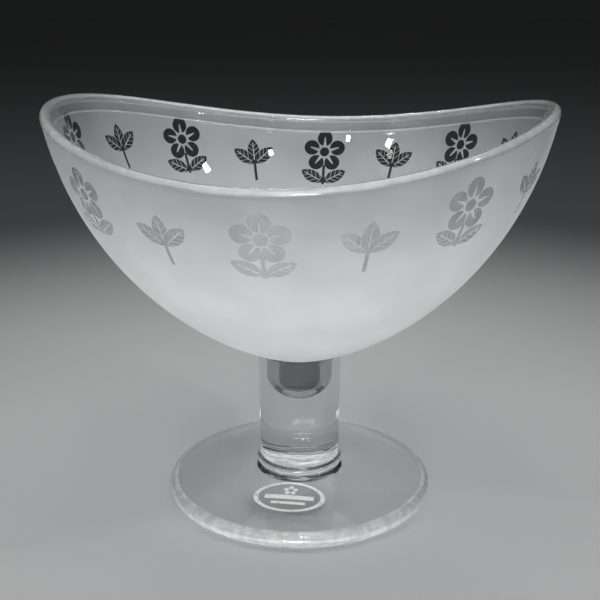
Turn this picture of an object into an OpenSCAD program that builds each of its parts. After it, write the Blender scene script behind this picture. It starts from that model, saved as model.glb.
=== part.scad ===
// Footed glass bowl with a wavy, boat-shaped rim, made hot as one piece of glass:
// a frosted round bowl whose lip rises at the two ends, a clear solid stem and a clear disc foot.
// The table is at z = 0, the stem's axis is the Z axis and the raised ends of the rim are on the X axis.

/* [Foot] */
// Diameter of the foot
foot_d = 80; // [66:1:96]
// Thickness of the foot at its rounded edge
foot_edge_h = 5; // [4:0.5:7]
// Height that the foot's top gains between its edge and the axis
foot_rise = 4.2; // [2:0.2:7]
// Diameter of the hollow under the foot
foot_dish_d = 58; // [40:1:60]
// Depth of the hollow under the foot
foot_dish_h = 0.8; // [0.4:0.1:1.5]

/* [Stem] */
// Diameter of the stem just above the foot
stem_base_d = 23.6; // [18:0.2:30]
// Diameter of the stem where it meets the bowl
stem_top_d = 24.8; // [20:0.2:32]
// Height of the underside of the bowl at the stem
stem_h = 45.2; // [38:0.2:60]
// Radius of the fillet between the stem and the foot
foot_fillet = 2.5; // [1.5:0.1:4]
// Radius of the fillet between the stem and the bowl
bowl_fillet = 1.5; // [1:0.1:3]
// Thickness of the fused ring round the foot of the stem
ring_d = 2.4; // [1.6:0.1:3.4]
// Height of the middle of that ring above the fillet
ring_rise = 0; // [0:0.1:3]

/* [Bowl] */
// Radius of the arc that the side of the bowl follows
bowl_arc_r = 92; // [84:0.5:100]
// Distance of that arc's centre beyond the axis
bowl_arc_in = 20.5; // [14:0.5:28]
// Thickness of the wall at the lip
wall_rim = 2.4; // [1.8:0.1:4]
// Thickness of the wall beside the stem
wall_base = 3.8; // [2.4:0.1:6]
// Diameter of the pit in the bottom of the bowl
pit_d = 12.4; // [8:0.2:15]
// Height of the bottom of the pit above the table
pit_floor_h = 30.8; // [24:0.2:36]
// Radius of the rounded edge of the pit
pit_edge_r = 8; // [5:0.5:10]

/* [Rim] */
// Height of the rim at its two low sides
rim_low_h = 106; // [96:0.5:110]
// Height that the two raised ends gain over the low sides
rim_wave = 12.3; // [2:0.1:16]
// Thickness of the rounded lip
lip_d = 2.8; // [2.6:0.1:5]
// Depth of the thinner band inside, measured down from the top of the lip
lip_band_h = 4.8; // [4:0.2:12]
// Depth that the band is set back into the wall
lip_band_step = 0.3; // [0.2:0.05:0.5]

/* [Frieze] */
// Number of blossoms round the bowl, with a sprig between each two
blossom_count = 8; // [4:2:10]
// Number of petals of a blossom
petal_count = 5; // [4:1:6]
// Diameter of a petal
petal_d = 5.2; // [3.6:0.1:5.4]
// Distance of the petals from the middle of the blossom
petal_out = 4.7; // [4.4:0.1:5.4]
// Diameter of the blossom's eye
eye_d = 3.2; // [2:0.1:3.8]
// Length of a leaf
leaf_l = 8.6; // [6:0.1:9.6]
// Width of a leaf
leaf_w = 4.2; // [3:0.1:5]
// Angle between the leaves of a sprig
leaf_spread = 52; // [44:1:64]
// Length of a stalk
stalk_l = 7; // [5:0.1:9]
// Width of a stalk
stalk_w = 0.9; // [0.6:0.1:1.4]
// Height of the rim above the middle of the frieze
frieze_drop = 13; // [12:0.5:17]
// Depth to which the frosted ground is etched round the clear figures
etch_depth = 0.15; // [0.1:0.05:0.3]

/* [Label] */
// Width of the oval label on the foot
label_w = 21.4; // [12:0.2:24]
// Length of the label from the stem outwards
label_l = 14.8; // [8:0.2:15]
// Thickness of the label's film
label_t = 0.15; // [0.1:0.05:0.3]
// Distance between the stem's fillet and the label
label_gap = 0.2; // [0:0.1:3]

/* [Hidden] */

// Number of facets of a full turn, of the large arcs and of the small ones
turn_fn = 96;
arc_fn = 160;
small_fn = 32;
// Direction of the seam of the bowl's revolves, between two figures of the frieze
seam_a = 90 / blossom_count;
// How far a blending arc is let into the curve that it meets
let_in = 0.04;
// Spare length of cutting shapes
spare = 2;

frosted = [0.86, 0.88, 0.9];
clear_glass = [0.62, 0.66, 0.7];
film = [0.94, 0.94, 0.92];

// Foot: a disc with a full round edge and a slightly conical top
foot_r = foot_d / 2;
edge_r = foot_edge_h / 2;
top_r = foot_r - edge_r;
slope = atan(foot_rise / top_r);
function foot_top(r) = foot_edge_h + foot_rise * (1 - r / top_r);

// Stem: the fillet on the foot meets the stem and the conical top
stem_base_r = stem_base_d / 2;
foot_fillet_x = stem_base_r + foot_fillet - let_in;
foot_fillet_z = foot_top(foot_fillet_x) + foot_fillet / cos(slope) - let_in;
foot_fillet_end = foot_fillet_x - foot_fillet * sin(slope);
ring_z = foot_fillet_z + ring_rise;

// Bowl: both sides of the wall are arcs, and the inner arc's centre is a little
// higher, so that the wall thickens downwards
stem_top_r = stem_top_d / 2;
bowl_c_z = stem_h + sqrt(pow(bowl_arc_r, 2) - pow(stem_top_r + bowl_arc_in, 2));
rim_high_h = rim_low_h + rim_wave;
sin_base = (bowl_c_z - stem_h) / bowl_arc_r;
sin_rim = (bowl_c_z - rim_high_h) / bowl_arc_r;
inner_lift = (wall_base - wall_rim) / (sin_base - sin_rim);
inner_arc_r = bowl_arc_r - wall_rim + inner_lift * sin_rim;
inner_c_z = bowl_c_z + inner_lift;
function outer_r(z) = sqrt(pow(bowl_arc_r, 2) - pow(bowl_c_z - z, 2)) - bowl_arc_in;
function inner_r(z) = sqrt(pow(inner_arc_r, 2) - pow(inner_c_z - z, 2)) - bowl_arc_in;
function middle_r(z) = (outer_r(z) + inner_r(z)) / 2;

// The fillet under the bowl meets the stem and the bowl's outer arc
bowl_fillet_x = stem_top_r + bowl_fillet - let_in;
bowl_fillet_z = bowl_c_z
    - sqrt(pow(bowl_arc_r + bowl_fillet - let_in, 2) - pow(bowl_fillet_x + bowl_arc_in, 2));

// The rounded edge of the pit meets the pit's wall and the bowl's inner arc
pit_r = pit_d / 2;
pit_c_z = pit_floor_h + pit_r;
pit_wall_r = pit_r - let_in;
pit_edge_x = pit_wall_r + pit_edge_r - let_in;
pit_edge_z = inner_c_z
    - sqrt(pow(inner_arc_r + pit_edge_r - let_in, 2) - pow(pit_edge_x + bowl_arc_in, 2));

// Rim: the middle of the lip lies where the middle of the wall meets a trough-shaped
// surface, a cylinder along Y that touches the two low sides
lip_r = lip_d / 2;
trough_z = rim_low_h - lip_r;
tip_x = middle_r(trough_z + rim_wave);
trough_r = (pow(tip_x, 2) + pow(rim_wave, 2)) / (2 * rim_wave);
function trough(x) = trough_z + trough_r - sqrt(pow(trough_r, 2) - pow(x, 2));
function rim_z(a, z, steps) =
    steps == 0 ? z : rim_z(a, trough(middle_r(z) * cos(a)), steps - 1);
function rim_point(a) =
    let (z = rim_z(a, rim_low_h, 8), r = middle_r(z)) [r * cos(a), r * sin(a), z];

// Frieze: the figures stand at equal steps, from the front, at one depth below the rim.
// Each is drawn flat about its middle and let through the glass as far as its root
figure_step = 360 / blossom_count;
figure_root = 0.75 * wall_rim;
blossom_y = petal_out / 2;
stalk_foot_y = -2 * petal_out;
function figure_z(a) = rim_z(a, rim_low_h, 8) - frieze_drop;
function wall_tilt(z) = asin((bowl_c_z - z) / bowl_arc_r);

// The lip is four round arcs, each in a tilted plane of its own: one round each low
// side and one round each raised end. They meet at these points, at this angle from -Y
low_half_a = 48;
low_mid = rim_point(-90);
high_mid = rim_point(0);
meet = rim_point(low_half_a - 90);

// Half section of the foot and the stem, with their ring and fillets
module stem_and_foot_section() {
    translate([top_r, edge_r]) circle(r = edge_r, $fn = small_fn);
    polygon([[0, 0], [top_r, 0], [top_r, foot_edge_h], [0, foot_top(0)]]);
    polygon([[0, edge_r], [stem_base_r, edge_r],
        [stem_top_r, stem_h], [0, stem_h + wall_base / 2]]);
    difference() {
        square([foot_fillet_end, foot_fillet_z]);
        translate([foot_fillet_x, foot_fillet_z]) circle(r = foot_fillet, $fn = small_fn);
    }
    difference() {
        translate([0, bowl_fillet_z]) square([bowl_fillet_x, bowl_fillet + wall_base / 2]);
        translate([bowl_fillet_x, bowl_fillet_z]) circle(r = bowl_fillet, $fn = small_fn);
    }
    translate([stem_base_r, ring_z]) circle(d = ring_d, $fn = small_fn);
}

// Half section of a solid bowl bounded by one arc
module bowl_section(arc_r, centre_z) {
    intersection() {
        translate([-bowl_arc_in, centre_z]) circle(r = arc_r, $fn = arc_fn);
        square([foot_r + bowl_arc_r, rim_high_h + spare]);
    }
}

// Half section of the hollow in the bowl, with the pit below it
module hollow_section() {
    bowl_section(inner_arc_r, inner_c_z);
    difference() {
        translate([0, pit_edge_z]) square([pit_edge_x, pit_edge_r + wall_base / 2]);
        translate([pit_edge_x, pit_edge_z]) circle(r = pit_edge_r, $fn = small_fn);
    }
    translate([0, pit_c_z]) square([pit_wall_r, pit_edge_z + pit_edge_r - pit_c_z]);
    intersection() {
        translate([0, pit_c_z]) circle(r = pit_r, $fn = small_fn);
        square([pit_d, pit_edge_z]);
    }
}

// Solid bowl bounded by one arc, with the seam of its revolve away from the rim's ends
module bowl_turned(arc_r, centre_z) {
    rotate([0, 0, seam_a]) rotate_extrude($fn = turn_fn) bowl_section(arc_r, centre_z);
}

// Everything above the trough-shaped surface, moved down by some depth
module above_trough(depth) {
    translate([0, 0, trough_z + trough_r - depth])
        rotate([90, 0, 0]) cylinder(r = trough_r, h = 4 * foot_d, center = true, $fn = 2 * arc_fn);
}

// Spherical hollow under the foot, so that it stands on a ring
module foot_dish() {
    dish_r = (pow(foot_dish_d / 2, 2) + pow(foot_dish_h, 2)) / (2 * foot_dish_h);
    rotate_extrude($fn = turn_fn)
        intersection() {
            translate([0, foot_dish_h - dish_r]) circle(r = dish_r, $fn = 2 * arc_fn);
            square([foot_r, foot_edge_h]);
        }
}

// Arc of the lip about a centre on the axis of its plane, from its sagitta and half chord
module lip_arc(sagitta, half_chord) {
    arc_r = (pow(sagitta, 2) + pow(half_chord, 2)) / (2 * sagitta);
    half_a = asin(half_chord / arc_r);
    translate([-arc_r, 0, 0])
        rotate([0, 0, -half_a])
            rotate_extrude(angle = 2 * half_a, $fn = turn_fn)
                translate([arc_r, 0]) circle(r = lip_r, $fn = small_fn);
}

// Rounded lip along the rim, with a ball where two arcs meet
module lip() {
    low_run = meet.y - low_mid.y;
    low_fall = meet.z - low_mid.z;
    high_run = high_mid.x - meet.x;
    high_rise = high_mid.z - meet.z;
    for (turn = [0, 180])
        rotate([0, 0, turn]) {
            translate(low_mid)
                rotate([0, 0, -90])
                    rotate([0, atan(low_fall / low_run), 0])
                        lip_arc(norm([low_run, low_fall]), meet.x);
            translate(high_mid)
                rotate([0, -atan(high_rise / high_run), 0])
                    lip_arc(norm([high_run, high_rise]), -meet.y);
            for (side = [-1, 1])
                translate([meet.x, side * meet.y, meet.z])
                    sphere(r = lip_r + let_in, $fn = small_fn);
        }
}

// Pointed leaf from the origin along +Y, between two arcs
module leaf() {
    arc_r = (pow(leaf_l, 2) + pow(leaf_w, 2)) / (4 * leaf_w);
    intersection() {
        translate([arc_r - leaf_w / 2, leaf_l / 2]) circle(r = arc_r, $fn = turn_fn);
        translate([leaf_w / 2 - arc_r, leaf_l / 2]) circle(r = arc_r, $fn = turn_fn);
    }
}

// Stalk that stands at the foot of a figure
module stalk() {
    translate([-stalk_w / 2, stalk_foot_y]) square([stalk_w, stalk_l]);
}

// Round petals about an eye, on a stalk with a pair of leaves
module blossom() {
    translate([0, blossom_y]) {
        circle(d = eye_d, $fn = small_fn);
        for (k = [0 : petal_count - 1])
            rotate([0, 0, 90 + (k + petal_count / 2 + 0.5) * 360 / petal_count])
                translate([petal_out, 0]) circle(d = petal_d, $fn = small_fn);
    }
    stalk();
    for (side = [-1, 1])
        translate([0, stalk_foot_y + stalk_w]) rotate([0, 0, side * 1.2 * leaf_spread]) leaf();
}

// Three leaves at the top of a stalk
module sprig() {
    stalk();
    for (side = [-1, 0, 1])
        translate([0, stalk_foot_y + stalk_l - stalk_w])
            rotate([0, 0, side * leaf_spread]) leaf();
}

// Lets a figure drawn flat through the wall, at an angle round the axis
module through_wall(a) {
    z = figure_z(a);
    rotate([0, 0, a])
        translate([outer_r(z), 0, z])
            rotate([0, 90 + wall_tilt(z), 0])
                translate([0, 0, -figure_root])
                    rotate([0, 0, 90]) linear_extrude(figure_root + spare) children();
}

// Clear figures that stand over the frosted ground, blossoms and sprigs in turn
module frieze() {
    color(clear_glass)
        intersection() {
            bowl_turned(bowl_arc_r + etch_depth, bowl_c_z);
            for (k = [0 : blossom_count - 1]) {
                through_wall(k * figure_step - 90) blossom();
                through_wall((k + 0.5) * figure_step - 90) sprig();
            }
        }
}

// The whole piece of glass
module glass_bowl() {
    difference() {
        union() {
            color(frosted)
                difference() {
                    bowl_turned(bowl_arc_r, bowl_c_z);
                    above_trough(0);
                }
            color(clear_glass) rotate_extrude($fn = turn_fn) stem_and_foot_section();
        }
        rotate([0, 0, seam_a]) rotate_extrude($fn = turn_fn) hollow_section();
        intersection() {
            bowl_turned(inner_arc_r + lip_band_step, inner_c_z);
            above_trough(lip_band_h - lip_r);
        }
        foot_dish();
    }
    color(clear_glass) lip();
    frieze();
}

// Oval film label that lies on the conical top of the foot, in front of the stem
module foot_label() {
    label_mid = foot_fillet_end + label_gap + label_l / 2 * cos(slope);
    color(film)
        intersection() {
            translate([0, -label_mid, 0])
                linear_extrude(2 * foot_top(0))
                    polygon([
                        for (a = [0 : 7.5 : 352.5])
                            [label_w / 2 * cos(a), label_l / 2 * cos(slope) * sin(a)]
                    ]);
            rotate_extrude($fn = turn_fn)
                polygon([[0, foot_top(0)], [top_r, foot_edge_h],
                    [top_r, foot_edge_h + label_t], [0, foot_top(0) + label_t]]);
        }
}

glass_bowl();
foot_label();
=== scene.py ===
"""Footed glass bowl with a wavy rim, a frosted frieze and an oval film label, on a pale floor.

The glass is one closed body, spun from its half section and then raised at the two ends
of its rim. All sizes are metres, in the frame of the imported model: the floor is z = 0,
the stem's axis is Z, the raised ends lie on X and the label on -Y.
"""

import logging
import math
from dataclasses import dataclass, field
from enum import Enum, IntEnum
from functools import cached_property

import bmesh
import bpy
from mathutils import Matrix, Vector


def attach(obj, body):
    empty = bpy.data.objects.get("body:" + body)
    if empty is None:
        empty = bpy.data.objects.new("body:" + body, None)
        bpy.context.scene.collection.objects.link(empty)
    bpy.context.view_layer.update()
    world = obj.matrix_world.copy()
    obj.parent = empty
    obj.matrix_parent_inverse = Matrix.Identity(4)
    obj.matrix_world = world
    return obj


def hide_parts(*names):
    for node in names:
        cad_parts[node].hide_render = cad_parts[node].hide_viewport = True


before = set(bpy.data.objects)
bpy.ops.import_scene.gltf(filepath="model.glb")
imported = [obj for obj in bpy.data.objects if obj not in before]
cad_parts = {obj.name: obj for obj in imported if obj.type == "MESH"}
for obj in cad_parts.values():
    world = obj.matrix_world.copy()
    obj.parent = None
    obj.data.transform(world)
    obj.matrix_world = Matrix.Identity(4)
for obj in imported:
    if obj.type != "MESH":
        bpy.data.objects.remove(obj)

LOG = logging.getLogger("footed_bowl")
MM = 0.001
FULL_TURN = 2 * math.pi
GLASS_IOR = 1.5
GREY = tuple[float, float, float]


class Slot(str, Enum):
    """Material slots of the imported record."""

    GLASS = "frosted_glass"
    FILM = "label_film"


class Zone(IntEnum):
    """Stretches of the glass body's half section, in order from the middle of its underside.

    FOOT ends at the fillet below the bowl, WALL is the outside of the bowl, BAND the step
    inside below the lip, and HOLLOW the inside down to the pit.
    """

    FOOT = 0
    WALL = 1
    LIP = 2
    BAND = 3
    HOLLOW = 4
    PIT = 5


class Skin(IntEnum):
    """Finishes of the glass body, as the indices of its material slots."""

    CLEAR = 0
    SATIN = 1
    LIP = 2
    STEM = 3
    EDGE = 4
    PIT = 5
    BAND = 6


class Value:
    """A number that varies over a surface: one output socket, with Python's operators."""

    def __init__(self, shader: "Shader", socket: bpy.types.NodeSocket) -> None:
        """Wraps a socket.

        Args:
            shader: the material that the socket belongs to.
            socket: an output that gives a number.
        """
        self.shader = shader
        self.socket = socket

    def math(self, operation: str, *others: "Value | float") -> "Value":
        """Adds a Math node with this value as its first input.

        Args:
            operation: the Math node's operation.
            others: its further inputs.

        Returns:
            The node's result.
        """
        return self.shader.math(operation, self, *others)

    def __add__(self, other: "Value | float") -> "Value":
        """Sum."""
        return self.math("ADD", other)

    __radd__ = __add__

    def __sub__(self, other: "Value | float") -> "Value":
        """Difference."""
        return self.math("SUBTRACT", other)

    def __rsub__(self, other: float) -> "Value":
        """Difference from a number."""
        return self.shader.math("SUBTRACT", other, self)

    def __mul__(self, other: "Value | float") -> "Value":
        """Product."""
        return self.math("MULTIPLY", other)

    __rmul__ = __mul__

    def __truediv__(self, other: "Value | float") -> "Value":
        """Quotient."""
        return self.math("DIVIDE", other)

    def __neg__(self) -> "Value":
        """Opposite."""
        return self.math("MULTIPLY", -1)

    def __abs__(self) -> "Value":
        """Size without sign."""
        return self.math("ABSOLUTE")

    def root(self) -> "Value":
        """Square root."""
        return self.math("SQRT")

    def high(self, other: "Value | float") -> "Value":
        """The higher of two values."""
        return self.math("MAXIMUM", other)

    def inside(self, edge: float) -> "Value":
        """1 where this distance is under zero, 0 where it is over, blurred over an edge's width.

        Args:
            edge: the width of the blur.

        Returns:
            The mask.
        """
        return self.stretch(edge / 2, -edge / 2)

    def stretch(self, start: float, end: float, low: float = 0.0, high: float = 1.0) -> "Value":
        """Maps start..end smoothly to low..high, and holds the ends.

        Args:
            start: the value that gives low.
            end: the value that gives high.
            low: the result up to start.
            high: the result from end.

        Returns:
            The mapped value.
        """
        node = self.shader.node(
            "MapRange",
            {"interpolation_type": "SMOOTHSTEP"},
            {0: self, 1: start, 2: end, 3: low, 4: high},
        )
        return Value(self.shader, node.outputs[0])


class Shader:
    """The node tree of a procedural material or of the world."""

    def __init__(self, owner: bpy.types.Material | bpy.types.World) -> None:
        """Starts with an empty tree.

        Args:
            owner: the material or the world.
        """
        self.owner = owner
        owner.use_nodes = True
        self.tree = owner.node_tree
        self.tree.nodes.clear()

    @cached_property
    def place(self) -> bpy.types.NodeSocket:
        """The object's own coordinates in one socket."""
        return self.node("TexCoord").outputs["Object"]

    def node(
        self,
        kind: str,
        settings: dict[str, object] | None = None,
        inputs: dict[object, object] | None = None,
    ) -> bpy.types.Node:
        """Adds a shader node.

        Args:
            kind: the node's type without its ShaderNode prefix.
            settings: attributes to set first.
            inputs: for each input's name or index a value, a Value or an output socket.

        Returns:
            The node.
        """
        node = self.tree.nodes.new(f"ShaderNode{kind}")
        for name, setting in (settings or {}).items():
            setattr(node, name, setting)
        for key, given in (inputs or {}).items():
            socket = node.inputs[key]
            source = given.socket if isinstance(given, Value) else given
            if isinstance(source, bpy.types.NodeSocket):
                self.tree.links.new(source, socket)
            elif isinstance(source, tuple) and len(source) == 3 and socket.type == "RGBA":
                socket.default_value = (*source, 1.0)
            else:
                socket.default_value = source
        return node

    def math(self, operation: str, *numbers: Value | float) -> Value:
        """Adds a Math node.

        Args:
            operation: the node's operation.
            numbers: its inputs.

        Returns:
            The result.
        """
        node = self.node("Math", {"operation": operation}, dict(enumerate(numbers)))
        return Value(self, node.outputs[0])

    def axes(self) -> tuple[Value, Value, Value]:
        """The object's own coordinates.

        Returns:
            x, y and z.
        """
        node = self.node("SeparateXYZ", inputs={0: self.place})
        return tuple(Value(self, output) for output in node.outputs)

    def noise(self, size: float, detail: float = 3.0, roughness: float = 0.5) -> Value:
        """Noise in object space.

        Args:
            size: the size of its main features.
            detail: the number of finer octaves.
            roughness: the strength of the finer octaves.

        Returns:
            A value about 0.5.
        """
        node = self.node(
            "TexNoise",
            inputs={
                "Vector": self.place,
                "Scale": 1 / size,
                "Detail": detail,
                "Roughness": roughness,
            },
        )
        return Value(self, node.outputs[0])

    def blend(self, share: Value | float, first: object, second: object) -> bpy.types.NodeSocket:
        """Mixes two colours.

        Args:
            share: how much of the second shows.
            first: a colour or a colour's socket.
            second: the same.

        Returns:
            The mixed colour.
        """
        node = self.node("Mix", {"data_type": "RGBA"}, {0: share, 6: first, 7: second})
        return node.outputs[2]

    def bump(self, height: Value, depth: float, strength: float = 1.0) -> bpy.types.NodeSocket:
        """A normal that follows a height.

        Args:
            height: from 0 to 1.
            depth: the real height of 1.
            strength: the share of the effect.

        Returns:
            The normal.
        """
        node = self.node("Bump", inputs={"Strength": strength, "Distance": depth, "Height": height})
        return node.outputs[0]

    def mix(self, share: object, first: bpy.types.Node, second: bpy.types.Node) -> bpy.types.Node:
        """Mixes two shaders.

        Args:
            share: how much of the second shows.
            first: a shader's node.
            second: the same.

        Returns:
            The Mix Shader node.
        """
        return self.node("MixShader", inputs={0: share, 1: first.outputs[0], 2: second.outputs[0]})

    def lit_through(self, surface: bpy.types.Node, tint: GREY) -> bpy.types.Node:
        """Lets lamps shine through a glass surface, so that it throws a soft shadow.

        Args:
            surface: the shader's node.
            tint: the colour of the light let through.

        Returns:
            The mixed shader's node.
        """
        window = self.node("BsdfTransparent", inputs={"Color": tint})
        return self.mix(self.node("LightPath").outputs["Is Shadow Ray"], surface, window)

    def finish(
        self, surface: bpy.types.Node, output: str = "OutputMaterial"
    ) -> bpy.types.Material | bpy.types.World:
        """Puts a shader on the tree's output.

        Args:
            surface: the shader's node.
            output: the output node's type without its ShaderNode prefix.

        Returns:
            The material or the world.
        """
        self.node(output, inputs={"Surface": surface.outputs[0]})
        return self.owner


@dataclass(frozen=True)
class BowlShape:
    """Sizes of the glass body, and what follows from them."""

    foot_r: float = 40 * MM
    foot_edge_h: float = 5 * MM
    foot_rise: float = 4.2 * MM
    dish_r: float = 29 * MM
    dish_h: float = 0.8 * MM
    stem_base_r: float = 11.8 * MM
    stem_top_r: float = 12.4 * MM
    stem_h: float = 45.2 * MM
    foot_fillet: float = 2.5 * MM
    bowl_fillet: float = 1.5 * MM
    ring_r: float = 1.2 * MM
    arc_r: float = 92 * MM
    arc_in: float = 20.5 * MM
    wall_rim: float = 2.4 * MM
    wall_base: float = 3.8 * MM
    pit_r: float = 6.2 * MM
    pit_floor_h: float = 30.8 * MM
    pit_edge_r: float = 8 * MM
    rim_low_h: float = 106 * MM
    rim_wave: float = 12.3 * MM
    lip_r: float = 1.4 * MM
    band_h: float = 4.8 * MM
    band_step: float = 0.3 * MM
    rim_rounds: int = 8

    @property
    def edge_r(self) -> float:
        """Radius of the foot's rounded edge."""
        return self.foot_edge_h / 2

    @property
    def top_r(self) -> float:
        """Radius at which the foot's top meets its rounded edge."""
        return self.foot_r - self.edge_r

    @property
    def slope(self) -> float:
        """Angle of the foot's conical top."""
        return math.atan(self.foot_rise / self.top_r)

    def foot_top(self, r: float) -> float:
        """Height of the foot's top at a radius."""
        return self.foot_edge_h + self.foot_rise * (1 - r / self.top_r)

    @property
    def foot_fillet_at(self) -> tuple[float, float]:
        """Centre of the fillet between the foot and the stem."""
        x = self.stem_base_r + self.foot_fillet
        return x, self.foot_top(x) + self.foot_fillet / math.cos(self.slope)

    @property
    def foot_fillet_end(self) -> float:
        """Radius at which that fillet runs out on the foot."""
        return self.foot_fillet_at[0] - self.foot_fillet * math.sin(self.slope)

    def stem_r(self, z: float) -> float:
        """Radius of the stem at a height."""
        share = (z - self.edge_r) / (self.stem_h - self.edge_r)
        return self.stem_base_r + share * (self.stem_top_r - self.stem_base_r)

    @property
    def arc_z(self) -> float:
        """Height of the centre of the wall's outer arc."""
        return self.stem_h + math.sqrt(self.arc_r**2 - (self.stem_top_r + self.arc_in) ** 2)

    @property
    def inner_lift(self) -> float:
        """Height of the inner arc's centre over the outer one's: it thickens the wall downwards."""
        high = self.rim_low_h + self.rim_wave
        return (self.wall_base - self.wall_rim) / ((high - self.stem_h) / self.arc_r)

    @property
    def inner_arc_r(self) -> float:
        """Radius of the wall's inner arc."""
        sine = (self.arc_z - self.rim_low_h - self.rim_wave) / self.arc_r
        return self.arc_r - self.wall_rim + self.inner_lift * sine

    @property
    def inner_arc_z(self) -> float:
        """Height of the centre of the wall's inner arc."""
        return self.arc_z + self.inner_lift

    def outer_r(self, z: float, grown: float = 0.0) -> float:
        """Radius of the outside of the wall at a height, with the arc grown by an amount."""
        return math.sqrt((self.arc_r + grown) ** 2 - (self.arc_z - z) ** 2) - self.arc_in

    def inner_r(self, z: float, grown: float = 0.0) -> float:
        """Radius of the inside of the wall at a height, with the arc grown by an amount."""
        reach = self.inner_arc_r + grown
        return math.sqrt(reach**2 - (self.inner_arc_z - z) ** 2) - self.arc_in

    def middle_r(self, z: float) -> float:
        """Radius of the middle of the wall at a height."""
        return (self.outer_r(z) + self.inner_r(z)) / 2

    @property
    def bowl_fillet_at(self) -> tuple[float, float]:
        """Centre of the fillet between the stem and the bowl."""
        x = self.stem_top_r + self.bowl_fillet
        reach = self.arc_r + self.bowl_fillet
        return x, self.arc_z - math.sqrt(reach**2 - (x + self.arc_in) ** 2)

    @property
    def pit_edge_at(self) -> tuple[float, float]:
        """Centre of the pit's rounded edge."""
        x = self.pit_r + self.pit_edge_r
        reach = self.inner_arc_r + self.pit_edge_r
        return x, self.inner_arc_z - math.sqrt(reach**2 - (x + self.arc_in) ** 2)

    @property
    def trough_z(self) -> float:
        """Height of the middle of the lip at the two low sides."""
        return self.rim_low_h - self.lip_r

    @property
    def trough_r(self) -> float:
        """Radius of the trough-shaped surface that the rim lies on."""
        tip = self.middle_r(self.trough_z + self.rim_wave)
        return (tip**2 + self.rim_wave**2) / (2 * self.rim_wave)

    def trough(self, x: float) -> float:
        """Height of that surface at a distance from the YZ plane."""
        return self.trough_z + self.trough_r - math.sqrt(self.trough_r**2 - x**2)

    def rim_z(self, angle: float) -> float:
        """Height of the middle of the lip.

        Args:
            angle: direction from the axis, from +X.

        Returns:
            The height, found by following wall and trough in turn.
        """
        z = self.rim_low_h
        for _ in range(self.rim_rounds):
            z = self.trough(self.middle_r(z) * math.cos(angle))
        return z

    def lip_point(self, rim_z: float, turn: float) -> tuple[float, float]:
        """A point of the lip's round section.

        Args:
            rim_z: height of the section's middle.
            turn: angle about the middle, from the wall's outward normal upwards.

        Returns:
            Radius and height.
        """
        tilt = math.asin((self.arc_z - rim_z) / self.arc_r)
        out = self.lip_r * math.cos(turn)
        up = self.lip_r * math.sin(turn)
        r = self.middle_r(rim_z) + out * math.cos(tilt) + up * math.sin(tilt)
        return r, rim_z - out * math.sin(tilt) + up * math.cos(tilt)


@dataclass(frozen=True)
class FriezeShape:
    """Sizes of the clear figures in the frosted wall: blossoms and sprigs in turn.

    The count is of each kind. A side vein's half width is a share of vein_w, the veins' reach
    to each side of a leaf's middle is a share of leaf_l, and the place where a petal's notch
    starts, outwards of the petal's middle, is a share of petal_r.
    """

    count: int = 8
    petals: int = 5
    petal_r: float = 2.6 * MM
    petal_out: float = 4.7 * MM
    notch_w: float = 0.5 * MM
    notch_taper: float = 0.12
    notch_start: float = 0.2
    eye_r: float = 1.6 * MM
    leaf_l: float = 8.6 * MM
    leaf_w: float = 4.2 * MM
    spread: float = math.radians(52)
    base_spread: float = 1.2 * math.radians(52)
    stalk_l: float = 7 * MM
    stalk_w: float = 0.9 * MM
    drop: float = 13 * MM
    etch: float = 0.15 * MM
    edge: float = 0.16 * MM
    vein_w: float = 0.34 * MM
    vein_step: float = 1.7 * MM
    vein_slant: float = 0.9
    vein_reach: float = 0.36
    side_vein: float = 0.35


@dataclass(frozen=True)
class ClearGlass:
    """Fire-polished clear glass, a little wavy, with faint specks of wear.

    The specks fade out over the heights of dust_h. An even dark veil, given a share for the pit, is
    painted shade.
    """

    tint: GREY = (0.97, 0.975, 0.975)
    shadow: GREY = (0.86, 0.87, 0.87)
    polish: float = 0.012
    dust: float = 0.1
    dust_tone: GREY = (0.85, 0.86, 0.86)
    dust_h: tuple[float, float] = (12 * MM, 18 * MM)
    speck_size: float = 0.6 * MM
    speck_edge: tuple[float, float] = (0.66, 0.72)
    painted_shade: float = 0.0
    painted_shade_tone: GREY = (0.03, 0.032, 0.034)
    wave_size: float = 14 * MM
    wave_depth: float = 0.05 * MM

    def surface(self, shader: Shader) -> bpy.types.Node:
        """Adds the finish to a material.

        Args:
            shader: the material.

        Returns:
            The shader's node.
        """
        height = shader.axes()[2]
        low = height.stretch(*self.dust_h, 1.0, 0.0)
        specks = shader.noise(self.speck_size, detail=2.0).stretch(*self.speck_edge) * low
        waves = shader.noise(self.wave_size, detail=1.0)
        glass = shader.node(
            "BsdfPrincipled",
            inputs={
                "Base Color": self.tint,
                "Roughness": self.polish,
                "IOR": GLASS_IOR,
                "Transmission Weight": 1.0,
                "Normal": shader.bump(waves, self.wave_depth),
            },
        )
        veil = shader.node(
            "BsdfPrincipled",
            inputs={
                "Base Color": shader.blend(specks, self.painted_shade_tone, self.dust_tone),
                "Roughness": 1.0,
                "Specular IOR Level": 0.0,
            },
        )
        # The veil carries the dust specks and, where its share is set, painted shade.
        veiled = shader.mix(self.painted_shade + self.dust * specks, glass, veil)
        return shader.lit_through(veiled, self.shadow)

    def material(self, name: str) -> bpy.types.Material:
        """Makes the material.

        Args:
            name: its name.

        Returns:
            The material.
        """
        shader = Shader(bpy.data.materials.new(name))
        return shader.finish(self.surface(shader))


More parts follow.
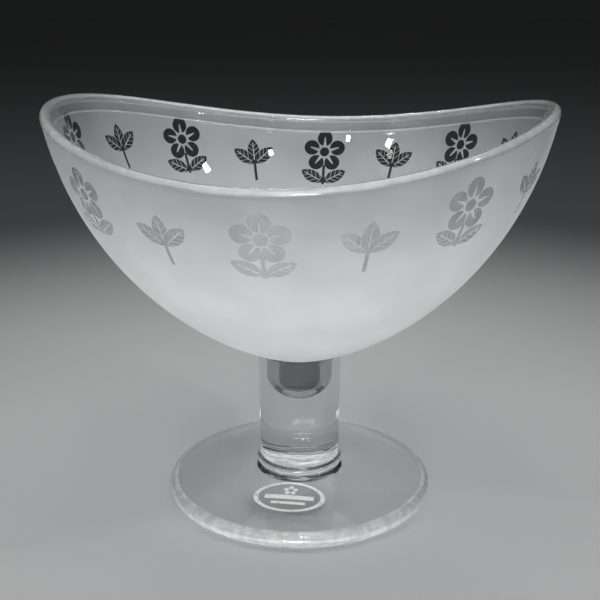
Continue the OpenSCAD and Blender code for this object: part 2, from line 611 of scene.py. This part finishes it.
@dataclass(frozen=True)
class FrostedGlass:
    """Satin etched glass with clear figures, for the outside of the bowl.

    The satin is darker towards the rim, in painted shade that goes to nothing over the depths of
    fade below the lip. The clouds are faint uneven patches. The figures stand out by relief times
    the height of the grain.
    """

    shape: BowlShape
    frieze: FriezeShape
    window: ClearGlass
    body: GREY = (0.88, 0.885, 0.89)
    shade_and_cloud_tone: GREY = (0.36, 0.365, 0.37)
    shadow: GREY = (0.42, 0.43, 0.44)
    fade: tuple[float, float] = (-4 * MM, 36 * MM)
    rim_shade_share: float = 0.66
    through: float = 0.14
    glow_share: float = 0.35
    roughness: float = 0.5
    uneven: float = 0.12
    sheen: float = 0.5
    sheen_roughness: float = 0.2
    grain: float = 0.22 * MM
    grain_strength: float = 0.35
    relief: float = 4.0
    cloud: float = 16 * MM
    cloud_edge: tuple[float, float] = (0.3, 0.7)
    cloud_share: float = 0.2

    def figures(self, shader: Shader) -> Value:
        """Mask of the clear figures.

        Each is drawn in the flat plane that touches the wall at its middle, from distances
        to circles, arcs and a bar.

        Args:
            shader: the material.

        Returns:
            1 on a figure and 0 on the ground.
        """
        bowl, frieze = self.shape, self.frieze
        x, y, z = shader.axes()
        step = FULL_TURN / (2 * frieze.count)
        angle = shader.math("ARCTAN2", x, -y)
        number = shader.math("ROUND", angle / step)
        turned = number * step
        side = shader.math("SINE", turned)
        front = shader.math("COSINE", turned)
        across = x * front + y * side
        out = x * side - y * front

        low, tip = bowl.middle_r(bowl.trough_z), bowl.middle_r(bowl.trough_z + bowl.rim_wave)
        reach = (low + (tip - low) * side * side) * side
        sag = bowl.trough_r - (bowl.trough_r**2 - reach * reach).root()
        middle_z = bowl.trough_z - frieze.drop + sag
        sine = (bowl.arc_z - middle_z) / bowl.arc_r
        cosine = (1 - sine * sine).root()
        middle_r = bowl.arc_r * cosine - bowl.arc_in
        up = (out - middle_r) * sine + (z - middle_z) * cosine

        blossom = self.blossom(shader, across, up)
        sprig = self.sprig(shader, across, up)
        odd = shader.math("PINGPONG", number, 1.0)
        return blossom * (1 - odd) + sprig * odd

    def leaf(self, along: Value, across: Value) -> Value:
        """Mask of a pointed leaf with a frosted midrib and side veins.

        Args:
            along: distance from the leaf's foot towards its tip.
            across: distance from its midrib.

        Returns:
            The mask.
        """
        frieze = self.frieze
        arc_r = (frieze.leaf_l**2 + frieze.leaf_w**2) / (4 * frieze.leaf_w)
        aside = abs(across)
        sideways = aside + (arc_r - frieze.leaf_w / 2)
        lengthways = along - frieze.leaf_l / 2
        from_centre = (sideways * sideways + lengthways * lengthways).root()
        outline = (from_centre - arc_r).inside(frieze.edge)
        midrib = (aside - frieze.vein_w / 2).inside(frieze.edge)
        slanted = (along - aside * frieze.vein_slant) / frieze.vein_step
        beside = abs(slanted.math("FRACT") - 0.5) * frieze.vein_step
        veins = (beside - frieze.vein_w * frieze.side_vein).inside(frieze.edge)
        room = (abs(lengthways) - frieze.vein_reach * frieze.leaf_l).inside(frieze.edge)
        return outline * (1 - midrib.high(veins) * room)

    def stalk(self, across: Value, up: Value) -> Value:
        """Mask of the stalk at the foot of a figure.

        Args:
            across: distance from the figure's middle line.
            up: height over its middle.

        Returns:
            The mask.
        """
        frieze = self.frieze
        middle = frieze.stalk_l / 2 - 2 * frieze.petal_out
        beside = abs(across) - frieze.stalk_w / 2
        beyond = abs(up - middle) - frieze.stalk_l / 2
        return beside.high(beyond).inside(frieze.edge)

    def blossom(self, shader: Shader, across: Value, up: Value) -> Value:
        """Mask of a blossom: petals about an eye, on a stalk with a pair of leaves.

        Args:
            shader: the material.
            across: distance from the figure's middle line.
            up: height over its middle.

        Returns:
            The mask.
        """
        frieze = self.frieze
        above = up - frieze.petal_out / 2
        out = (across * across + above * above).root()
        eye = (out - frieze.eye_r).inside(frieze.edge)
        step = FULL_TURN / frieze.petals
        turn = shader.math("ARCTAN2", across, -above) / step
        folded = (turn.math("FRACT") - 0.5) * step
        ahead = out * folded.math("COSINE") - frieze.petal_out
        aside = out * folded.math("SINE")
        petals = ((ahead * ahead + aside * aside).root() - frieze.petal_r).inside(frieze.edge)
        notch = (abs(aside) - frieze.notch_w / 2 + ahead * frieze.notch_taper).inside(frieze.edge)
        inner = (ahead - frieze.notch_start * frieze.petal_r).inside(frieze.edge)
        petals = petals * (1 - notch * inner)
        sine, cosine = math.sin(frieze.base_spread), math.cos(frieze.base_spread)
        height = up + (2 * frieze.petal_out - frieze.stalk_w)
        beside = abs(across)
        leaves = self.leaf(beside * sine + height * cosine, beside * cosine - height * sine)
        return eye.high(petals).high(self.stalk(across, up)).high(leaves)

    def sprig(self, shader: Shader, across: Value, up: Value) -> Value:
        """Mask of a sprig: three leaves at the top of a stalk.

        Args:
            shader: the material; not used.
            across: distance from the figure's middle line.
            up: height over its middle.

        Returns:
            The mask.
        """
        frieze = self.frieze
        sine, cosine = math.sin(frieze.spread), math.cos(frieze.spread)
        height = up + (2 * frieze.petal_out - frieze.stalk_l + frieze.stalk_w)
        beside = abs(across)
        pair = self.leaf(beside * sine + height * cosine, beside * cosine - height * sine)
        return pair.high(self.leaf(height, across)).high(self.stalk(across, up))

    def material(self, name: str) -> bpy.types.Material:
        """Makes the material.

        Args:
            name: its name.

        Returns:
            The material.
        """
        shader = Shader(bpy.data.materials.new(name))
        figures = self.figures(shader)
        clouds = shader.noise(self.cloud, detail=4.0)
        grain = shader.noise(self.grain, detail=2.0, roughness=0.7)
        bowl = self.shape
        x, _, z = shader.axes()
        # Painted shade: by depth below the rim, the satin's colour darkens towards the lip.
        depth = bowl.trough_z + bowl.trough_r - (bowl.trough_r**2 - x * x).root() - z
        rim_shade_mask = depth.stretch(*self.fade, self.rim_shade_share, 0.0)
        patches = clouds.stretch(*self.cloud_edge) * self.cloud_share
        ground = shader.blend(patches + rim_shade_mask, self.body, self.shade_and_cloud_tone)
        height = grain + figures * self.relief
        normal = shader.bump(height, self.frieze.etch / self.relief, self.grain_strength)
        satin = shader.node(
            "BsdfPrincipled",
            inputs={
                "Base Color": ground,
                "Roughness": self.roughness + self.uneven * (clouds - 0.5),
                "IOR": GLASS_IOR,
                "Transmission Weight": self.through,
                "Sheen Weight": self.sheen,
                "Sheen Roughness": self.sheen_roughness,
                "Normal": normal,
            },
        )
        # The glow darkens towards the rim with the same painted shade.
        glows = [
            shader.node("BsdfTranslucent", inputs={"Color": tone, "Normal": normal})
            for tone in (self.body, self.shade_and_cloud_tone)
        ]
        ground = shader.mix(self.glow_share, satin, shader.mix(rim_shade_mask, *glows))
        frosted = shader.lit_through(ground, self.shadow)
        return shader.finish(shader.mix(figures, frosted, self.window.surface(shader)))


@dataclass(frozen=True)
class MilkyGlass:
    """Glossy, slightly milky glass with small waves, for the lip; on the foot's edge and the step
    below the band its light tone is painted highlight.
    """

    body: GREY = (0.97, 0.975, 0.98)
    veil: GREY = (0.86, 0.87, 0.88)
    shadow: GREY = (0.6, 0.61, 0.62)
    veil_edge: tuple[float, float] = (0.35, 0.65)
    through: float = 0.7
    polish: float = 0.03
    uneven: float = 0.05
    wave_size: float = 3 * MM
    wave_depth: float = 0.2 * MM

    def material(self, name: str) -> bpy.types.Material:
        """Makes the material.

        Args:
            name: its name.

        Returns:
            The material.
        """
        shader = Shader(bpy.data.materials.new(name))
        waves = shader.noise(self.wave_size, detail=2.0)
        milky = shader.node(
            "BsdfPrincipled",
            inputs={
                "Base Color": shader.blend(waves.stretch(*self.veil_edge), self.body, self.veil),
                "Roughness": self.polish + self.uneven * waves,
                "IOR": GLASS_IOR,
                "Transmission Weight": self.through,
                "Normal": shader.bump(waves, self.wave_depth),
            },
        )
        return shader.finish(shader.lit_through(milky, self.shadow))


@dataclass(frozen=True)
class LabelFilm:
    """Clear film printed in white with a border line, a small flower and two bars.

    Each bar is given by the place of its middle above the label's, half its length and half
    its width.
    """

    middle_y: float
    half_w: float
    half_l: float
    white: GREY = (0.9, 0.9, 0.89)
    film: GREY = (0.36, 0.37, 0.38)
    film_share: float = 0.45
    border: float = 0.62 * MM
    line_w: float = 1.0 * MM
    edge: float = 0.12 * MM
    flower_up: float = 3.1 * MM
    petals: int = 5
    petal_r: float = 0.72 * MM
    petal_out: float = 1.4 * MM
    bars: tuple[tuple[float, float, float], ...] = (
        (-0.2 * MM, 7.2 * MM, 1.0 * MM),
        (-3.0 * MM, 5.0 * MM, 0.6 * MM),
    )
    roughness: float = 0.22
    uneven: float = 0.2
    wear_size: float = 0.7 * MM
    wear_depth: float = 0.02 * MM
    wear_strength: float = 0.5
    wear_edge: tuple[float, float] = (0.3, 0.38)

    def material(self, name: str) -> bpy.types.Material:
        """Makes the material.

        Args:
            name: its name.

        Returns:
            The material.
        """
        shader = Shader(bpy.data.materials.new(name))
        x, y, _ = shader.axes()
        along = y - self.middle_y
        wide, long = x / self.half_w, along / self.half_l
        out = (wide * wide + long * long).root()
        inwards = (1 - out) * self.half_l
        border = (abs(inwards - self.border) - self.line_w / 2).inside(self.edge)
        above = along - self.flower_up
        from_middle = (x * x + above * above).root()
        step = FULL_TURN / self.petals
        turn = shader.math("ARCTAN2", x, -above) / step
        folded = (turn.math("FRACT") - 0.5) * step
        ahead = from_middle * folded.math("COSINE") - self.petal_out
        aside = from_middle * folded.math("SINE")
        petals = ((ahead * ahead + aside * aside).root() - self.petal_r).inside(self.edge)
        print_mask = border.high(petals)
        for up, half_length, half_height in self.bars:
            beyond = (abs(x) - half_length).high(abs(along - up) - half_height)
            print_mask = print_mask.high(beyond.inside(self.edge))
        wear = shader.noise(self.wear_size)
        print_mask = print_mask * wear.stretch(*self.wear_edge)
        coated = shader.node(
            "BsdfPrincipled",
            inputs={
                "Base Color": shader.blend(print_mask, self.film, self.white),
                "Roughness": self.roughness + self.uneven * wear,
                "Alpha": self.film_share + (1 - self.film_share) * print_mask,
                "Normal": shader.bump(wear, self.wear_depth, self.wear_strength),
            },
        )
        return shader.finish(coated)


@dataclass
class GlassBody:
    """The whole piece of glass: foot, stem and bowl, spun from one half section.

    The lip's round section runs from lip_out to lip_in, turning from the wall's outward normal
    over the top, and takes the lip's finish between the two angles of gloss. The wall starts at
    the height wall_start, and the hollow ends at hollow_end. The stem's straight part starts
    ring_clear radii of the bead over the bead's middle.
    """

    shape: BowlShape
    finishes: tuple[bpy.types.Material, ...]
    steps: int = 256
    dish_rows: int = 12
    top_rows: int = 10
    stem_rows: int = 12
    wall_rows: int = 64
    lip_rows: int = 22
    band_rows: int = 8
    hollow_rows: int = 56
    lip_out: float = math.radians(-31)
    lip_in: float = math.radians(230)
    gloss: tuple[float, float] = (math.radians(5), math.radians(175))
    shoulder_h: float = 0.5 * MM
    flat_margin: float = 2 * MM
    ring_clear: float = 1.25
    merge: float = 0.002 * MM
    bm: bmesh.types.BMesh = field(default_factory=bmesh.new)
    wall_start: float = field(init=False, default=0.0)
    hollow_end: float = field(init=False, default=0.0)

    def arc(
        self, centre: tuple[float, float], radius: float, start: float, end: float, count: int
    ) -> list[tuple[float, float]]:
        """Points along an arc of the half section.

        Args:
            centre: its centre.
            radius: its radius.
            start: angle of its first point, in degrees from the +r direction.
            end: angle of its last point.
            count: number of steps.

        Returns:
            Radius and height of each point.
        """
        angles = [math.radians(start + (end - start) * k / count) for k in range(count + 1)]
        return [
            (centre[0] + radius * math.cos(a), centre[1] + radius * math.sin(a)) for a in angles
        ]

    def foot_and_stem(self) -> list[tuple[float, float]]:
        """Half section from the middle of the underside up to the fillet below the bowl.

        Returns:
            Radius and height of each point.
        """
        bowl = self.shape
        dome_r = (bowl.dish_r**2 + bowl.dish_h**2) / (2 * bowl.dish_h)
        points = [
            (r, bowl.dish_h - dome_r + math.sqrt(dome_r**2 - r**2))
            for r in (bowl.dish_r * k / self.dish_rows for k in range(self.dish_rows + 1))
        ]
        points += [(bowl.dish_r + self.flat_margin, 0.0), (bowl.top_r - self.flat_margin, 0.0)]
        points += self.arc((bowl.top_r, bowl.edge_r), bowl.edge_r, -90, 88, count=20)
        end = bowl.foot_fillet_end
        for k in range(1, self.top_rows):
            r = bowl.top_r - (bowl.top_r - end) * k / self.top_rows
            points.append((r, bowl.foot_top(r)))
        x, z = bowl.foot_fillet_at
        span = x - bowl.stem_base_r
        near = (span**2 + bowl.ring_r**2 - bowl.foot_fillet**2) / (2 * span)
        below = math.sqrt(bowl.ring_r**2 - near**2)
        meeting = math.degrees(math.atan2(-below, near - span))
        fillet_start = 270 - math.degrees(bowl.slope)
        points += self.arc((x, z), bowl.foot_fillet, fillet_start, 360 + meeting, count=8)
        ring_start = math.degrees(math.atan2(-below, near))
        points += self.arc((bowl.stem_base_r, z), bowl.ring_r, ring_start, 84, count=14)[1:]
        low = z + self.ring_clear * bowl.ring_r
        fillet_x, fillet_z = bowl.bowl_fillet_at
        for k in range(self.stem_rows):
            height = low + (fillet_z - low) * k / self.stem_rows
            points.append((bowl.stem_r(height), height))
        centre_turn = math.atan2(bowl.arc_z - fillet_z, -bowl.arc_in - fillet_x)
        points += self.arc(
            (fillet_x, fillet_z), bowl.bowl_fillet, 180, math.degrees(centre_turn), count=6
        )
        return points

    def pit_edge(self) -> list[tuple[float, float]]:
        """Half section of the pit's rounded edge, from the hollow inwards.

        Returns:
            Radius and height of each point.
        """
        bowl = self.shape
        x, z = bowl.pit_edge_at
        start = math.degrees(math.atan2(bowl.inner_arc_z - z, -bowl.arc_in - x))
        return self.arc((x, z), bowl.pit_edge_r, start, 180, count=12)

    def pit(self) -> list[tuple[float, float]]:
        """Half section of the pit's wall and round floor, down to the axis.

        Returns:
            Radius and height of each point.
        """
        bowl = self.shape
        return self.arc((0.0, bowl.pit_floor_h + bowl.pit_r), bowl.pit_r, 0, -90, count=14)

    def add_section(self) -> None:
        """Lays the half section in the XZ plane, each point with its zone and its share of it."""
        bowl = self.shape
        zone = self.bm.verts.layers.int.new("zone")
        share = self.bm.verts.layers.float.new("share")
        rim = bowl.rim_z(-math.pi / 2)
        foot = self.foot_and_stem()
        self.wall_start = foot[-1][1]
        edge = self.pit_edge()
        self.hollow_end = edge[0][1]
        rows = [(r, z, Zone.FOOT, 0.0) for r, z in foot]
        for stretch, steps, count in (
            (Zone.WALL, range(1, self.wall_rows), self.wall_rows),
            (Zone.LIP, range(self.lip_rows + 1), self.lip_rows),
            (Zone.BAND, range(1, self.band_rows + 1), self.band_rows),
            (Zone.HOLLOW, range(self.hollow_rows), self.hollow_rows),
        ):
            for k in steps:
                rows.append((*self.placed(stretch, k / count, rim), stretch, k / count))
        rows += [(r, z, Zone.PIT, 0.0) for r, z in edge + self.pit()]
        before = None
        for r, z, stretch, along in rows:
            vert = self.bm.verts.new((r, 0.0, z))
            vert[zone] = int(stretch)
            vert[share] = along
            if before is not None:
                self.bm.edges.new((before, vert))
            before = vert

    def placed(self, stretch: Zone, along: float, rim: float) -> tuple[float, float]:
        """Where a point of the wall or the lip lies under a given height of the rim.

        Args:
            stretch: the point's zone.
            along: its share of that zone's length.
            rim: height of the lip's middle above it.

        Returns:
            Radius and height.
        """
        bowl = self.shape
        if stretch == Zone.LIP:
            return bowl.lip_point(rim, self.lip_out + (self.lip_in - self.lip_out) * along)
        if stretch == Zone.WALL:
            top = bowl.lip_point(rim, self.lip_out)[1]
            z = self.wall_start + (top - self.wall_start) * along
            return bowl.outer_r(z), z
        band_end = rim + bowl.lip_r - bowl.band_h
        if stretch == Zone.BAND:
            top = bowl.lip_point(rim, self.lip_in)[1]
            z = top + (band_end - top) * along
            return bowl.inner_r(z, bowl.band_step), z
        shoulder = band_end - self.shoulder_h
        z = shoulder + (self.hollow_end - shoulder) * along
        return bowl.inner_r(z), z

    def raise_rim(self) -> None:
        """Moves the wall and the lip so that the rim follows the trough."""
        zone = self.bm.verts.layers.int["zone"]
        share = self.bm.verts.layers.float["share"]
        rims: dict[float, float] = {}
        for vert in self.bm.verts:
            stretch = Zone(vert[zone])
            if stretch in (Zone.FOOT, Zone.PIT):
                continue
            angle = round(math.atan2(vert.co.y, vert.co.x), 5)
            if angle not in rims:
                rims[angle] = self.shape.rim_z(angle)
            r, z = self.placed(stretch, vert[share], rims[angle])
            vert.co = (r * math.cos(angle), r * math.sin(angle), z)

    def skin(self, face: bmesh.types.BMFace) -> Skin:
        """The finish of a face, by its zones.

        Args:
            face: the face.

        Returns:
            Its finish.
        """
        zone = self.bm.verts.layers.int["zone"]
        share = self.bm.verts.layers.float["share"]
        zones = {vert[zone] for vert in face.verts}
        top = max(vert.co.z for vert in face.verts)
        if zones == {Zone.LIP}:
            middle = sum(vert[share] for vert in face.verts) / len(face.verts)
            turn = self.lip_out + (self.lip_in - self.lip_out) * middle
            if turn < self.gloss[0]:
                return Skin.SATIN
            return Skin.LIP if turn < self.gloss[1] else Skin.CLEAR
        if Zone.WALL in zones:
            return Skin.SATIN
        # The step below the band takes the lip's milky finish: a painted highlight line.
        if zones == {Zone.BAND, Zone.HOLLOW}:
            return Skin.LIP
        if zones & {Zone.LIP, Zone.BAND}:
            return Skin.BAND
        if zones == {Zone.HOLLOW}:
            return Skin.CLEAR
        if Zone.PIT in zones:
            return Skin.PIT
        on_edge = 2 * self.shape.dish_h < top < self.shape.foot_edge_h
        return Skin.EDGE if on_edge else Skin.STEM

    def dress(self) -> None:
        """Gives each face its finish and smooth shading."""
        for face in self.bm.faces:
            face.smooth = True
            face.material_index = self.skin(face)

    def build(self) -> bpy.types.Object:
        """Makes the glass body.

        Returns:
            Its object.
        """
        bm = self.bm
        self.add_section()
        bmesh.ops.spin(
            bm,
            geom=bm.verts[:] + bm.edges[:],
            cent=(0, 0, 0),
            axis=(0, 0, 1),
            angle=FULL_TURN,
            steps=self.steps,
            use_merge=True,
        )
        self.raise_rim()
        bmesh.ops.remove_doubles(bm, verts=bm.verts[:], dist=self.merge)
        bmesh.ops.recalc_face_normals(bm, faces=bm.faces[:])
        self.dress()
        body = into_object(bm, "bowl_glass", self.finishes)
        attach(body, "root")
        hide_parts("glass_bowl")
        return body


@dataclass
class FootLabel:
    """Oval film label on the conical top of the foot, in front of the stem."""

    shape: BowlShape
    half_w: float = 10.7 * MM
    half_l: float = 7.4 * MM
    gap: float = 0.2 * MM
    thickness: float = 0.12 * MM
    lift: float = 0.02 * MM
    corners: int = 72
    rings: int = 4

    @property
    def flat_l(self) -> float:
        """Half its length as seen from above."""
        return self.half_l * math.cos(self.shape.slope)

    @property
    def middle_y(self) -> float:
        """Place of the label's middle along Y."""
        return -(self.shape.foot_fillet_end + self.gap + self.flat_l)

    def build(self, finish: bpy.types.Material) -> bpy.types.Object:
        """Makes the label.

        Args:
            finish: its material.

        Returns:
            Its object.
        """
        bm = bmesh.new()
        bmesh.ops.create_circle(bm, cap_ends=True, segments=self.corners, radius=1.0)
        ring_w = 1 / (self.rings + 1)
        for _ in range(self.rings):
            middle = max(bm.faces, key=lambda face: len(face.verts))
            bmesh.ops.inset_region(
                bm, faces=[middle], thickness=ring_w, use_boundary=True, use_even_offset=True
            )
        for vert in bm.verts:
            x, y = vert.co.x * self.half_w, vert.co.y * self.flat_l + self.middle_y
            vert.co = (x, y, self.shape.foot_top(math.hypot(x, y)) + self.lift)
        raised = bmesh.ops.extrude_face_region(bm, geom=bm.faces[:])
        tops = [item for item in raised["geom"] if isinstance(item, bmesh.types.BMVert)]
        bmesh.ops.translate(bm, verts=tops, vec=(0, 0, self.thickness))
        bmesh.ops.recalc_face_normals(bm, faces=bm.faces[:])
        label = into_object(bm, "label_oval", (finish,))
        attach(label, "root")
        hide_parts("foot_label")
        return label


@dataclass(frozen=True)
class Lamp:
    """A rectangular lamp: place, power in watts, width and height, and the beam's angle."""

    name: str
    place: tuple[float, float, float]
    power: float
    size: tuple[float, float] = (35 * MM, 35 * MM)
    beam: float = math.pi


@dataclass(frozen=True)
class Studio:
    """A pale floor whose colour darkens away from the middle as a painted pool of light, the lamps
    and the camera.

    A large lamp hangs overhead and a low one in front. The small ones make the glints.
    """

    floor_r: float = 6.0
    floor_corners: int = 96
    floor_drop: float = 0.05 * MM
    floor_near: GREY = (0.68, 0.685, 0.69)
    floor_far: GREY = (0.1, 0.104, 0.108)
    painted_pool: tuple[float, float] = (0.1, 0.42)
    fibre_size: float = 1.5 * MM
    fibre_depth: float = 0.02 * MM
    fibre_strength: float = 0.2
    air: GREY = (1.0, 1.0, 1.0)
    world_light: float = 0.11
    seen_world: GREY = (0.01, 0.0104, 0.0106)
    lamps: tuple[Lamp, ...] = (
        Lamp("overhead", (0.0, 0.15, 1.0), 2.6, (0.9, 0.7)),
        Lamp("front_key", (0.12, -1.4, 0.15), 0.55, (0.5, 0.16), math.radians(30)),
        Lamp("left_spark", (-0.45, -0.35, 0.5), 0.42),
        Lamp("right_spark", (0.5, -0.1, 0.55), 0.42),
        Lamp("back_spark", (-0.1, 0.5, 0.45), 0.12),
        Lamp("front_left_spark", (-0.28, -0.62, 0.62), 0.16),
        Lamp("front_right_spark", (0.3, -0.55, 0.7), 0.16),
        Lamp("top_spark", (0.02, -0.3, 0.8), 0.12),
    )
    aim: tuple[float, float, float] = (0.0, 0.0, 60 * MM)
    distance: float = 290.25 * MM
    azimuth: float = math.radians(7.93)
    elevation: float = math.radians(17.4)
    lens: float = 59.03
    sensor_w: float = 36.0
    shift: tuple[float, float] = (0.0008, 0.0004)

    def floor(self) -> bpy.types.Object:
        """Makes the round floor, just under the foot.

        Returns:
            Its object.
        """
        bm = bmesh.new()
        bmesh.ops.create_circle(bm, cap_ends=True, segments=self.floor_corners, radius=self.floor_r)
        bmesh.ops.translate(bm, verts=bm.verts[:], vec=(0, 0, -self.floor_drop))
        shader = Shader(bpy.data.materials.new("floor_paper"))
        x, y, _ = shader.axes()
        # Painted light: the floor's colour darkens from floor_near to floor_far away from the
        # middle, a pool of light painted on it.
        far = (x * x + y * y).root().stretch(*self.painted_pool)
        fibre = shader.noise(self.fibre_size)
        tone = shader.blend(far, self.floor_near, self.floor_far)
        paper = shader.node(
            "BsdfPrincipled",
            inputs={
                "Base Color": tone,
                "Roughness": 0.75,
                "Specular IOR Level": 0.2,
                "Normal": shader.bump(fibre, self.fibre_depth, self.fibre_strength),
            },
        )
        floor = into_object(bm, "floor", (shader.finish(paper),))
        return floor

    def world(self) -> None:
        """Sets an even soft light, with a darker tone where the air is seen or mirrored."""
        shader = Shader(bpy.data.worlds.new("studio_air"))
        light = shader.node("Background", inputs={"Color": self.air, "Strength": self.world_light})
        seen = shader.node("Background", inputs={"Color": self.seen_world})
        path = shader.node("LightPath").outputs
        looked_at = shader.math("MAXIMUM", path["Is Camera Ray"], path["Is Transmission Ray"])
        looked_at = looked_at.high(path["Is Glossy Ray"])
        mixed = shader.mix(looked_at, light, seen)
        bpy.context.scene.world = shader.finish(mixed, "OutputWorld")

    def hang(self, lamp: Lamp) -> None:
        """Hangs a lamp that faces the bowl, and that the camera doesn't see.

        Args:
            lamp: the lamp.
        """
        light = bpy.data.lights.new(lamp.name, "AREA")
        light.shape = "RECTANGLE"
        light.size, light.size_y = lamp.size
        light.energy = lamp.power
        light.spread = lamp.beam
        holder = bpy.data.objects.new(lamp.name, light)
        holder.visible_camera = False
        bpy.context.scene.collection.objects.link(holder)
        holder.location = lamp.place
        facing = Vector(self.aim) - Vector(lamp.place)
        holder.rotation_euler = facing.to_track_quat("-Z", "Y").to_euler()

    def camera(self) -> None:
        """Places the camera at the photograph's viewing angle."""
        data = bpy.data.cameras.new("camera")
        data.lens = self.lens
        data.sensor_width = self.sensor_w
        data.shift_x, data.shift_y = self.shift
        holder = bpy.data.objects.new("camera", data)
        bpy.context.scene.collection.objects.link(holder)
        flat = math.cos(self.elevation)
        back = Vector(
            (
                math.sin(self.azimuth) * flat,
                -math.cos(self.azimuth) * flat,
                math.sin(self.elevation),
            )
        )
        holder.location = Vector(self.aim) + back * self.distance
        holder.rotation_euler = (-back).to_track_quat("-Z", "Y").to_euler()
        bpy.context.scene.camera = holder


def into_object(
    bm: bmesh.types.BMesh, name: str, finishes: tuple[bpy.types.Material, ...]
) -> bpy.types.Object:
    """Turns a bmesh into an object at the origin and frees it.

    Args:
        bm: the mesh.
        name: the object's name.
        finishes: its materials, in slot order.

    Returns:
        The object.
    """
    mesh = bpy.data.meshes.new(name)
    bm.to_mesh(mesh)
    bm.free()
    for finish in finishes:
        mesh.materials.append(finish)
    made = bpy.data.objects.new(name, mesh)
    bpy.context.scene.collection.objects.link(made)
    LOG.info("%s: %d vertices, %d faces", name, len(mesh.vertices), len(mesh.polygons))
    return made


def glass_finishes(shape: BowlShape) -> tuple[bpy.types.Material, ...]:
    """Makes the glass body's finishes.

    Args:
        shape: its sizes.

    Returns:
        A material for each Skin, in order.
    """
    # The figures' grey tint is painted shade: it darkens the clear glass seen through them.
    window = ClearGlass(tint=(0.5, 0.505, 0.505))
    finishes = {
        Skin.CLEAR: ClearGlass(),
        Skin.SATIN: FrostedGlass(shape, FriezeShape(), window),
        Skin.LIP: MilkyGlass(),
        Skin.STEM: ClearGlass(tint=(0.84, 0.847, 0.85), dust=0.6),
        # On the foot's rounded edge the milky tone is painted highlight, lightening the clear edge
        # as if lit.
        Skin.EDGE: MilkyGlass(
            veil=(0.78, 0.79, 0.8), through=0.42, polish=0.08, wave_size=2 * MM
        ),
        # The pit's grey tint and dark veil are painted shade, darkening the glass seen in the pit.
        Skin.PIT: ClearGlass(tint=(0.6, 0.62, 0.63), painted_shade=0.4),
        # The band's grey tint is painted shade below the lip.
        Skin.BAND: ClearGlass(tint=(0.58, 0.59, 0.595), wave_size=4 * MM),
    }
    return tuple(finishes[skin].material(f"{skin.name.lower()}_glass") for skin in Skin)


def main() -> None:
    """Builds the studio and the pieces, and logs each piece's counts of vertices and faces."""
    logging.basicConfig(level=logging.INFO, format="%(name)s: %(message)s")
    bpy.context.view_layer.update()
    bpy.context.scene.view_settings.view_transform = "Standard"
    studio = Studio()
    studio.camera()
    studio.world()
    for lamp in studio.lamps:
        studio.hang(lamp)
    studio.floor()
    shape = BowlShape()
    GlassBody(shape, glass_finishes(shape)).build()
    label = FootLabel(shape)
    film = LabelFilm(label.middle_y, label.half_w, label.flat_l)
    label.build(film.material("label_film"))


if __name__ == "__main__":
    main()
